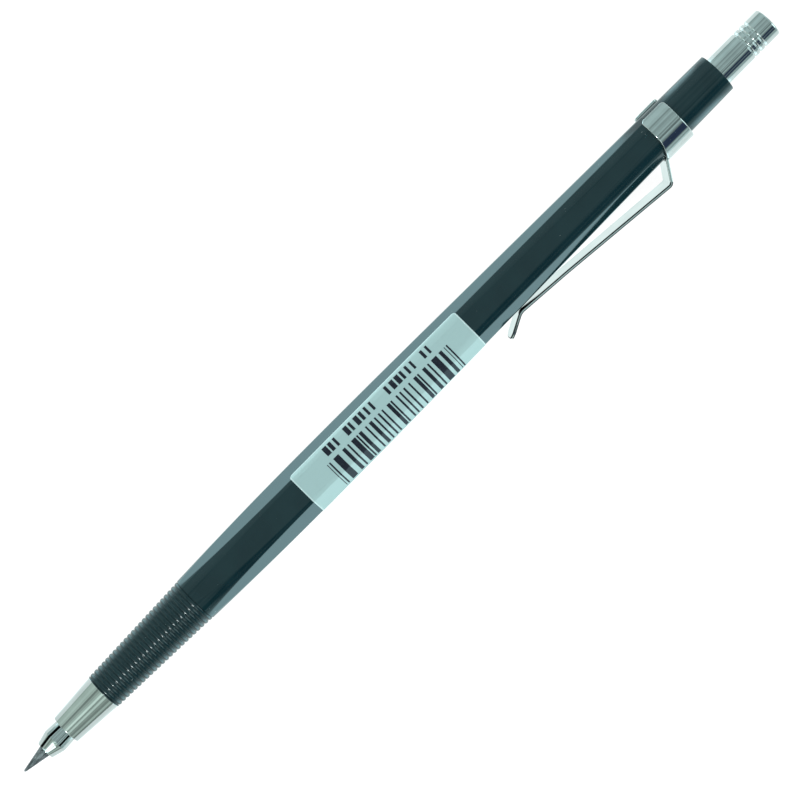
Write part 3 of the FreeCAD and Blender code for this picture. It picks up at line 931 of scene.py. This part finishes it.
SHEET = 0.49
RIM_RADIUS = 0.15
RIM_STEPS = 4
BAND_RADIUS = 3.86
BAND_START = 126.7
BAND_FLARE = 1.0
FLARE_POWER = 1.3
BAND_GAP = math.radians(54.6)
BAND_CORNER = 0.65
NECK_LEAN = math.radians(58.0)
NECK_ROOT = 0.6
CURL_ROWS = 5
ARM_CORNER = (123.9, 6.36)
ARM_MIDDLE = (104.5, 4.56)
ARM_CONTACT = (95.9, 3.93)
ARM_FOOT_RISE = math.radians(29.0)
ARM_FOOT_LENGTH = 4.12
ARM_BENDS = (0.45, 0.7, 60.0, 2.0)
ARM_ROOT_WIDTH = 4.0
ARM_TIP_WIDTH = 2.8
ARM_TIP_CORNER = 0.9
CLIP_ANGLE = math.radians(106.2)
BAND_ROWS = 8
BAND_COLUMNS = 24
CORNER_COLUMNS = 6
ARM_COLUMNS = 11
SHARPEST_MITRE = 0.7
# How far behind the arm's corner the rim is painted dark as shade.
DARK_RIM_FROM = 1.0


def bent(points, bends, steps=6):
    """A line through the points with an arc at each inner one, and which way it runs there."""
    corners = [np.array(p, float) for p in points]
    line, ways = [corners[0]], []
    for before, corner, after, radius in zip(corners, corners[1:], corners[2:], bends):
        back, ahead = unit(before - corner), unit(after - corner)
        half_turn = (math.pi - math.acos(float(np.clip(back @ ahead, -1, 1)))) / 2
        inward, across = unit(back + ahead), unit(ahead - back)
        centre = corner + inward * radius / math.cos(half_turn)
        for swing in np.linspace(-half_turn, half_turn, steps):
            line.append(centre - inward * radius * math.cos(swing) + across * radius * math.sin(swing))
            ways.append(across * math.cos(swing) + inward * math.sin(swing))
    line.append(corners[-1])
    return np.array(line), np.array([ways[0], *ways, ways[-1]])


def drawn_back(corner, past):
    """How far a round corner's outline has drawn back, so far past the start of its arc."""
    return corner - math.sqrt(max(0.0, corner ** 2 - max(0.0, past) ** 2))


def arm_line(share):
    """The arm's side view down one of its columns, share being -1 and 1 at its two edges."""
    side = share * (ARM_ROOT_WIDTH / 2 - RIM_RADIUS)
    foot_height = math.sqrt((BAND_RADIUS - SHEET / 2) ** 2 - side ** 2)
    foot_station = ARM_CORNER[0] + (ARM_CORNER[1] - foot_height) / math.tan(NECK_LEAN)
    corner = ARM_TIP_CORNER - RIM_RADIUS
    pulled = drawn_back(corner, (abs(share) - 1) * (ARM_TIP_WIDTH / 2 - RIM_RADIUS) + corner)
    foot_length = ARM_FOOT_LENGTH - RIM_RADIUS - pulled / math.cos(ARM_FOOT_RISE)
    foot_end = (
        ARM_CONTACT[0] - foot_length * math.cos(ARM_FOOT_RISE),
        ARM_CONTACT[1] + foot_length * math.sin(ARM_FOOT_RISE),
    )
    root = (foot_station + NECK_ROOT, foot_height)
    neck = (foot_station, foot_height)
    return bent([root, neck, ARM_CORNER, ARM_MIDDLE, ARM_CONTACT, foot_end], ARM_BENDS)


def clip_point(station, side, height):
    """A point from its station, its distance to the arm's one side, and its height under the arm."""
    return at(station, math.hypot(side, height), CLIP_ANGLE + math.atan2(side, height))


def rim_loop(faces):
    """The vertex numbers round the open edge of a sheet, in the faces' own sense."""
    sides = {(a, b) for face in faces for a, b in zip(face, face[1:] + face[:1])}
    after = {a: b for a, b in sides if (b, a) not in sides}
    loop = [min(after)]
    while after[loop[-1]] != loop[0]:
        loop.append(after[loop[-1]])
    return loop


def sheet_piece(name, middle, normals, faces, material, edge_material, dark_edge):
    """A sheet of even thickness with a rounded rim, from the middle of its flat part.

    The rounding takes the edge material wherever dark_edge says so of a point of the rim.
    """
    first = middle[list(faces[0])]
    if np.cross(first[1] - first[0], first[2] - first[0]) @ normals[faces[0][0]] < 0:
        faces = [face[::-1] for face in faces]
    loop = rim_loop(faces)
    edge, up = middle[loop], normals[loop]
    before = unit(np.cross(edge - np.roll(edge, 1, axis=0), up))
    after = unit(np.cross(np.roll(edge, -1, axis=0) - edge, up))
    out = unit(before + after)
    mitre = 1 / np.maximum(SHARPEST_MITRE, (out * after).sum(axis=1))[:, None]
    flat = SHEET / 2 - RIM_RADIUS
    count = len(middle)
    points = [*(middle + normals * SHEET / 2 * MM), *(middle - normals * SHEET / 2 * MM)]
    headings = [*normals, *-normals]
    rows = [np.array(loop)]
    turns = np.linspace(math.pi / 2, 0, RIM_STEPS + 1)[1:]
    for side, lifts in ((1, turns), (-1, turns[::-1])):
        for turn in lifts:
            rows.append(np.arange(len(loop)) + len(points))
            lift = side * (flat + RIM_RADIUS * math.sin(turn))
            points.extend(edge + (out * mitre * RIM_RADIUS * math.cos(turn) + up * lift) * MM)
            headings.extend(out * math.cos(turn) + up * side * math.sin(turn))
    rows.append(np.array(loop) + count)
    skins = faces + [tuple(v + count for v in face[::-1]) for face in faces]
    slots = [0] * len(skins)
    for number, (upper, lower) in enumerate(zip(rows, rows[1:])):
        for here, there in zip(range(len(loop)), [*range(1, len(loop)), 0]):
            skins.append((upper[here], lower[here], lower[there], upper[there]))
            slots.append(int(number != RIM_STEPS and dark_edge(edge[here])))
    piece = new_piece(name, points, skins, material, headings)
    piece.data.materials.append(edge_material)
    piece.data.polygons.foreach_set("material_index", slots)
    return piece


def make_clip(material, edge_material):
    """One stamped sheet: a band round the barrel whose front edge carries the long arm."""
    middle_radius = BAND_RADIUS - SHEET / 2
    half_arm = ARM_ROOT_WIDTH / 2 - RIM_RADIUS
    half_tip = ARM_TIP_WIDTH / 2 - RIM_RADIUS
    corner = BAND_CORNER - RIM_RADIUS
    arm_edge = math.asin(half_arm / middle_radius)
    end_angle = math.pi - BAND_GAP / 2 - RIM_RADIUS / middle_radius
    corner_angle = corner / middle_radius
    side_angles = np.concatenate([
        np.linspace(arm_edge, end_angle - corner_angle, BAND_COLUMNS)[1:],
        end_angle - corner_angle * (1 - np.sin(np.linspace(0, math.pi / 2, CORNER_COLUMNS + 1)[1:])),
    ])
    shares = np.linspace(-1, 1, ARM_COLUMNS)
    angles = np.concatenate([-side_angles[::-1], np.arcsin(shares * half_arm / middle_radius), side_angles])
    first_arm = len(side_angles)
    points, normals, faces, columns = [], [], [], []
    for number, angle in enumerate(angles):
        pulled = drawn_back(corner, corner - (end_angle - abs(angle)) * middle_radius)
        flare = BAND_FLARE * max(0.0, math.cos(angle)) ** FLARE_POWER
        front = BAND_START + RIM_RADIUS - flare + pulled
        on_arm = first_arm <= number < first_arm + ARM_COLUMNS
        if on_arm:
            share = shares[number - first_arm]
            line, ways = arm_line(share)
            front = line[0][0]
        stations = np.linspace(BAND_REAR - RIM_RADIUS - pulled, front, BAND_ROWS)
        column = list(range(len(points), len(points) + BAND_ROWS))
        points.extend(at(stations, middle_radius, CLIP_ANGLE + angle))
        normals.extend(heading(0 * stations, 1, CLIP_ANGLE + angle))
        if on_arm:
            for step, ((station, height), way) in enumerate(zip(line[1:], ways[1:])):
                half = np.interp(station, (ARM_TIP, ARM_CORNER[0]), (half_tip, half_arm))
                column.append(len(points))
                points.append(clip_point(station, share * half, height))
                curl = angle * max(0.0, 1 - step / CURL_ROWS)
                normals.append(heading(way[1], -way[0], CLIP_ANGLE + curl))
        columns.append(column)
    for left, right in zip(columns, columns[1:]):
        rows = min(len(left), len(right))
        for row in range(rows - 1):
            faces.append((left[row], left[row + 1], right[row + 1], right[row]))
    # Painted shade: the arm's rounded rim corners take the dark edge material, for dark lines along its
    # edges.
    dark_from = POINT_X + (ARM_CORNER[0] + DARK_RIM_FROM) * MM
    return sheet_piece(
        "clip", np.array(points), np.array(normals), faces, material, edge_material,
        lambda point: point[0] < dark_from,
    )


# -------- stage

FLOOR_HALF_WIDTH = 1.6
FLOOR_STEPS = 9
FLOOR_GAP = 0.00002
FLOOR_GREYS = (0.19, 0.19, 0.19), (0.21, 0.21, 0.21)
FLOOR_GLOW = 0.94
WORLD_GREY = (0.47, 0.47, 0.47, 1)


def make_floor():
    """A pale table top that carries on past every view."""
    steps = np.linspace(-FLOOR_HALF_WIDTH, FLOOR_HALF_WIDTH, FLOOR_STEPS)
    points = [(x, y, cad_box[0].z - FLOOR_GAP) for x in steps for y in steps]
    index = np.arange(len(points)).reshape(FLOOR_STEPS, FLOOR_STEPS)
    glowing = {"Emission_Color": (1, 1, 1, 1), "Emission_Strength": FLOOR_GLOW}
    look = Look("floor_white", Roughness=0.6, **glowing)
    tone = look.noise((0.02, 0.02, 0.02), detail=2)
    look.feed("Base Color", look.mixed(tone, *FLOOR_GREYS))
    floor = new_piece("floor", points, grid_faces(index[::-1]), look.material)
    floor.visible_glossy = False


CARD_DISTANCE = 0.3
LAMP_DISTANCE = 0.28
SPARK_DISTANCE = 0.26
CARD_STEPS = 9
WALL_STEPS = 48
WALL_BRIGHTNESS = 0.03
NOSE_TONE = (0.77, 1.0, 0.91)
BODY_TONE = (0.73, 1.0, 0.99)
FLOOR_TONE = (0.86, 1.0, 0.99)
NAVY_TONE = (0.45, 0.75, 1.4)
STRIP_TONE = (0.63, 0.96, 1.02)
NAVY_BELOW = 0.1
NOSE = (-0.9, -0.118)
BODY = (-0.118, 0.9)
GLOW_SPANS = ((-0.0845, 0.079), (0.0925, 0.1015))
COLLET_SPAN = (-0.09, -0.0725)
CLIP_SPAN = (0.077, 0.097)

# What the gloss sees all round: where a strip ends, in degrees from the top towards the clip's
# side, and how bright it is up to there. Each run starts straight down on the other side. Its
# first two and last two strips have the floor's tone, and strips under NAVY_BELOW are navy.
NOSE_STRIPS = (
    (-142, 1.0), (-97, 0.84), (-86, 0.5), (-66, 0.56), (-52, 0.62), (-38, 0.53), (-26, 0.26),
    (-13, 0.42), (-1, 0.54), (12, 0.86), (24, 0.38), (37, 0.7), (51, 0.36), (66, 0.27),
    (81, 0.5), (96, 0.26), (142, 0.84), (180, 1.0),
)
BODY_STRIPS = (
    (-142, 1.05), (-104, 0.9), (-97, 0.7), (-92, 0.28), (-76, 0.48), (-54, 0.57), (-41, 0.51),
    (-34, 0.31), (-26, 0.42), (-19, 0.5), (-9, 0.36), (1, 0.42), (8, 0.49), (14, 0.31),
    (19, 0.44), (27, 0.2), (34, 0.5), (40, 0.34), (45, 0.18), (57, 0.06), (63, 0.17),
    (75, 0.06), (80, 0.22), (88, 0.48), (96, 0.33), (105, 0.68), (142, 0.9), (180, 1.05),
)
# Cards in front of those, most of them brighter: from, to, brightness, tone and ends in X.
LAMPS = (
    (-5, 28, 1.6, FLOOR_TONE, (-0.5, -0.26)),
    (33, 54, 1.6, FLOOR_TONE, (-0.5, -0.26)),
    (3, 24, 1.4, BODY_TONE, (-0.116, -0.092)),
    (43, 49.5, 0.5, BODY_TONE, COLLET_SPAN),
    (49.5, 70.5, 0.004, BODY_TONE, COLLET_SPAN),
    (70.5, 78, 0.6, BODY_TONE, COLLET_SPAN),
    (56, 64, 0.05, NAVY_TONE, CLIP_SPAN),
    (30, 75, 2.0, BODY_TONE, (0.135, 0.4)),
    (-80, 80, 1.3, BODY_TONE, (0.4, 0.75)),
    (-80, 80, 1.1, BODY_TONE, (-0.85, -0.5)),
)
# Brighter still below the plastic, the same on both sides.
GLOWS = (
    (85, 97, 0.9, BODY_TONE),
    (97, 104, 1.5, STRIP_TONE),
    (104, 140, 2.3, STRIP_TONE),
)
SPARK = (14, 24, 24.0, FLOOR_TONE, (-0.9, -0.32))


def glow(brightness, tone):
    """A plain glowing surface that is only met by reflections, never aimed at."""
    material = bpy.data.materials.new("glow")
    material.use_nodes = True
    nodes = material.node_tree.nodes
    nodes.remove(nodes["Principled BSDF"])
    emission = nodes.new("ShaderNodeEmission")
    emission.inputs["Color"].default_value = (*(brightness * part for part in tone), 1)
    material.node_tree.links.new(emission.outputs[0], nodes["Material Output"].inputs["Surface"])
    material.cycles.emission_sampling = "NONE"
    return material


def stage_card(name, points, faces, material):
    """A surface of the stage that only reflections see."""
    piece = new_piece(name, points, faces, material)
    piece.visible_camera = False
    piece.visible_diffuse = False
    piece.visible_shadow = False


def arc(x, distance, angles):
    """Points in metres on an arc about the axis."""
    return [(x, -math.sin(a) * distance, AXIS_Z + math.cos(a) * distance) for a in angles]


def card(name, distance, from_top, to_top, brightness, tone, ends):
    """A long curved card beside the pencil."""
    angles = np.radians(np.linspace(from_top, to_top, CARD_STEPS))
    points = arc(ends[0], distance, angles) + arc(ends[1], distance, angles)
    index = np.arange(len(points)).reshape(2, CARD_STEPS)
    stage_card(name, points, grid_faces(index), glow(brightness, tone))


def end_wall(name, x):
    """A dark disc that closes the run of cards at one end."""
    points = arc(x, CARD_DISTANCE, np.linspace(0, -math.tau, WALL_STEPS, endpoint=False))
    stage_card(name, points, [tuple(range(WALL_STEPS))], glow(WALL_BRIGHTNESS, BODY_TONE))


SOFTBOX_SIZE = (0.6, 0.4)
SOFTBOX_WATTS = 2.6


def softbox(name, place):
    """A broad white light that faces the pencil and doesn't show in its gloss."""
    light = bpy.data.lights.new(name, "AREA")
    light.shape = "RECTANGLE"
    light.size, light.size_y = SOFTBOX_SIZE
    light.energy = SOFTBOX_WATTS
    piece = bpy.data.objects.new(name, light)
    piece.location = place
    piece.rotation_euler = Vector(place).to_track_quat("Z", "Y").to_euler()
    piece.visible_glossy = False
    bpy.context.scene.collection.objects.link(piece)


def make_world():
    """A grey surround, even all round."""
    world = bpy.data.worlds.new("studio")
    world.use_nodes = True
    world.node_tree.nodes["Background"].inputs["Color"].default_value = WORLD_GREY
    bpy.context.scene.world = world


SENSOR_WIDTH = 36.0
CAMERA_HEIGHT = 0.490
VIEW_WIDTH = 0.1136
CAMERA_TURN = math.radians(-45.24)
CAMERA_AIM = (0.0, -0.00072)


def make_camera():
    """A camera straight above, turned so that the pencil lies across the frame's diagonal."""
    lens = bpy.data.cameras.new("camera")
    lens.sensor_width = SENSOR_WIDTH
    lens.lens = SENSOR_WIDTH * CAMERA_HEIGHT / VIEW_WIDTH
    camera = bpy.data.objects.new("camera", lens)
    camera.location = (CAMERA_AIM[0], CAMERA_AIM[1], AXIS_Z + CAMERA_HEIGHT)
    camera.rotation_euler = (0, 0, CAMERA_TURN)
    bpy.context.scene.collection.objects.link(camera)
    bpy.context.scene.camera = camera


def make_cards():
    """Everything that the gloss sees."""
    for name, ends, own_tone, strips in (
        ("nose", NOSE, NOSE_TONE, NOSE_STRIPS), ("body", BODY, BODY_TONE, BODY_STRIPS)
    ):
        start = -180
        for number, (end, brightness) in enumerate(strips):
            tone = NAVY_TONE if brightness < NAVY_BELOW else own_tone
            if number < 2 or number >= len(strips) - 2:
                tone = FLOOR_TONE
            card(f"{name}_card_{number}", CARD_DISTANCE, start, end, brightness, tone, ends)
            start = end
    lamps = list(LAMPS)
    for start, end, brightness, tone in GLOWS:
        for ends in GLOW_SPANS:
            lamps.append((start, end, brightness, tone, ends))
            lamps.append((-end, -start, brightness, tone, ends))
    for number, lamp in enumerate(lamps):
        card(f"lamp_{number}", LAMP_DISTANCE, *lamp)
    card("spark_0", SPARK_DISTANCE, *SPARK)
    end_wall("front_wall", NOSE[0])
    end_wall("rear_wall", BODY[1])


def make_stage():
    """The floor, the camera and all that lights the pencil."""
    make_floor()
    make_world()
    make_camera()
    softbox("key", (-0.1, 0.5, 0.24))
    softbox("fill", (0.1, -0.5, 0.24))
    make_cards()
    bpy.context.scene.view_settings.view_transform = "Standard"


# -------- the whole pencil

BLEND_MARGIN = 0.3


def stand_in(piece, body, node):
    """Puts a piece on its body in place of a CAD node."""
    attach(piece, body)
    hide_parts(node)


def build():
    """Makes every piece, gives each but the clip its body, and gives each its material slot and the node
    that it replaces.
    """
    plastic = green_plastic()
    plating = chrome("chrome")
    tube_steel = steel("tube_steel", (0.6, 0.62, 0.62), 0.2, (0.5, 12, 12))
    spring_steel = steel("spring_steel", (0.5, 0.52, 0.53), 0.22, (4, 4, 4))
    blade_steel = steel("blade_steel", (0.55, 0.57, 0.58), 0.25, (14, 2, 2))
    clip_plating = chrome("clip_chrome", turning=(0.6, 9, 9), base=0.04)
    # Nearly black steel on the jaws' slit walls and bore: painted shade for the dark slits.
    slit_shade = steel("painted_shade_steel", (0.02, 0.022, 0.024), 0.35, (1, 7, 7))
    brass = steel("brass", (0.72, 0.5, 0.22), 0.2, (16, 1, 1))

    stand_in(make_barrel(plastic), "barrel", "barrel")
    stand_in(make_label(label_paper()), "barrel", "label")
    stand_in(make_sleeve(plating), "barrel", "nose_sleeve")
    stand_in(make_button(plating), "push_button", "push_button")
    stand_in(make_pointer(brass), "push_button", "pointer_body")
    stand_in(make_base(brass), "carriage", "collet_base")
    tube = make_ring(
        "tube", (TUBE_START, TUBE_END), (TUBE_BORE_RADIUS, TUBE_RADIUS),
        (0.05, 0.05, 0.12, 0.08), tube_steel,
    )
    stand_in(tube, "carriage", "lead_tube")
    collar = make_ring(
        "collar", (COLLAR_START, COLLAR_END), (TUBE_RADIUS, COLLAR_RADIUS),
        (0.05, 0.12, 0.12, 0.05), brass,
    )
    stand_in(collar, "carriage", "spring_collar")
    stand_in(make_lead(graphite()), "lead", "lead")
    for number in range(JAW_COUNT):
        name = f"collet_jaw_{number + 1}"
        stand_in(make_jaw(number, plating, slit_shade), f"jaw_{number + 1}", name)
    spring = make_spring(spring_steel)
    stand_in(spring, "barrel", "return_spring")
    anchor = tuple(at(SLEEVE_END, 0, 0))
    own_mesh(spring)
    # The edge material is dark steel: painted shade on the arm's rim.
    clip = make_clip(clip_plating, steel("clip_edge_painted_shade", (0.03, 0.036, 0.04), 0.3, (0.6, 0.6, 0.6)))
    start = tuple(clip_point(BAND_START - BLEND_MARGIN, 0, BAND_RADIUS))
    end = tuple(clip_point(ARM_CORNER[0] + BLEND_MARGIN, 0, BAND_RADIUS))
    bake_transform(clip)
    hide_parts("clip_band", "clip_arm")
    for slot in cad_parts["pointer_blades"].material_slots:
        slot.material = blade_steel


build()
make_stage()
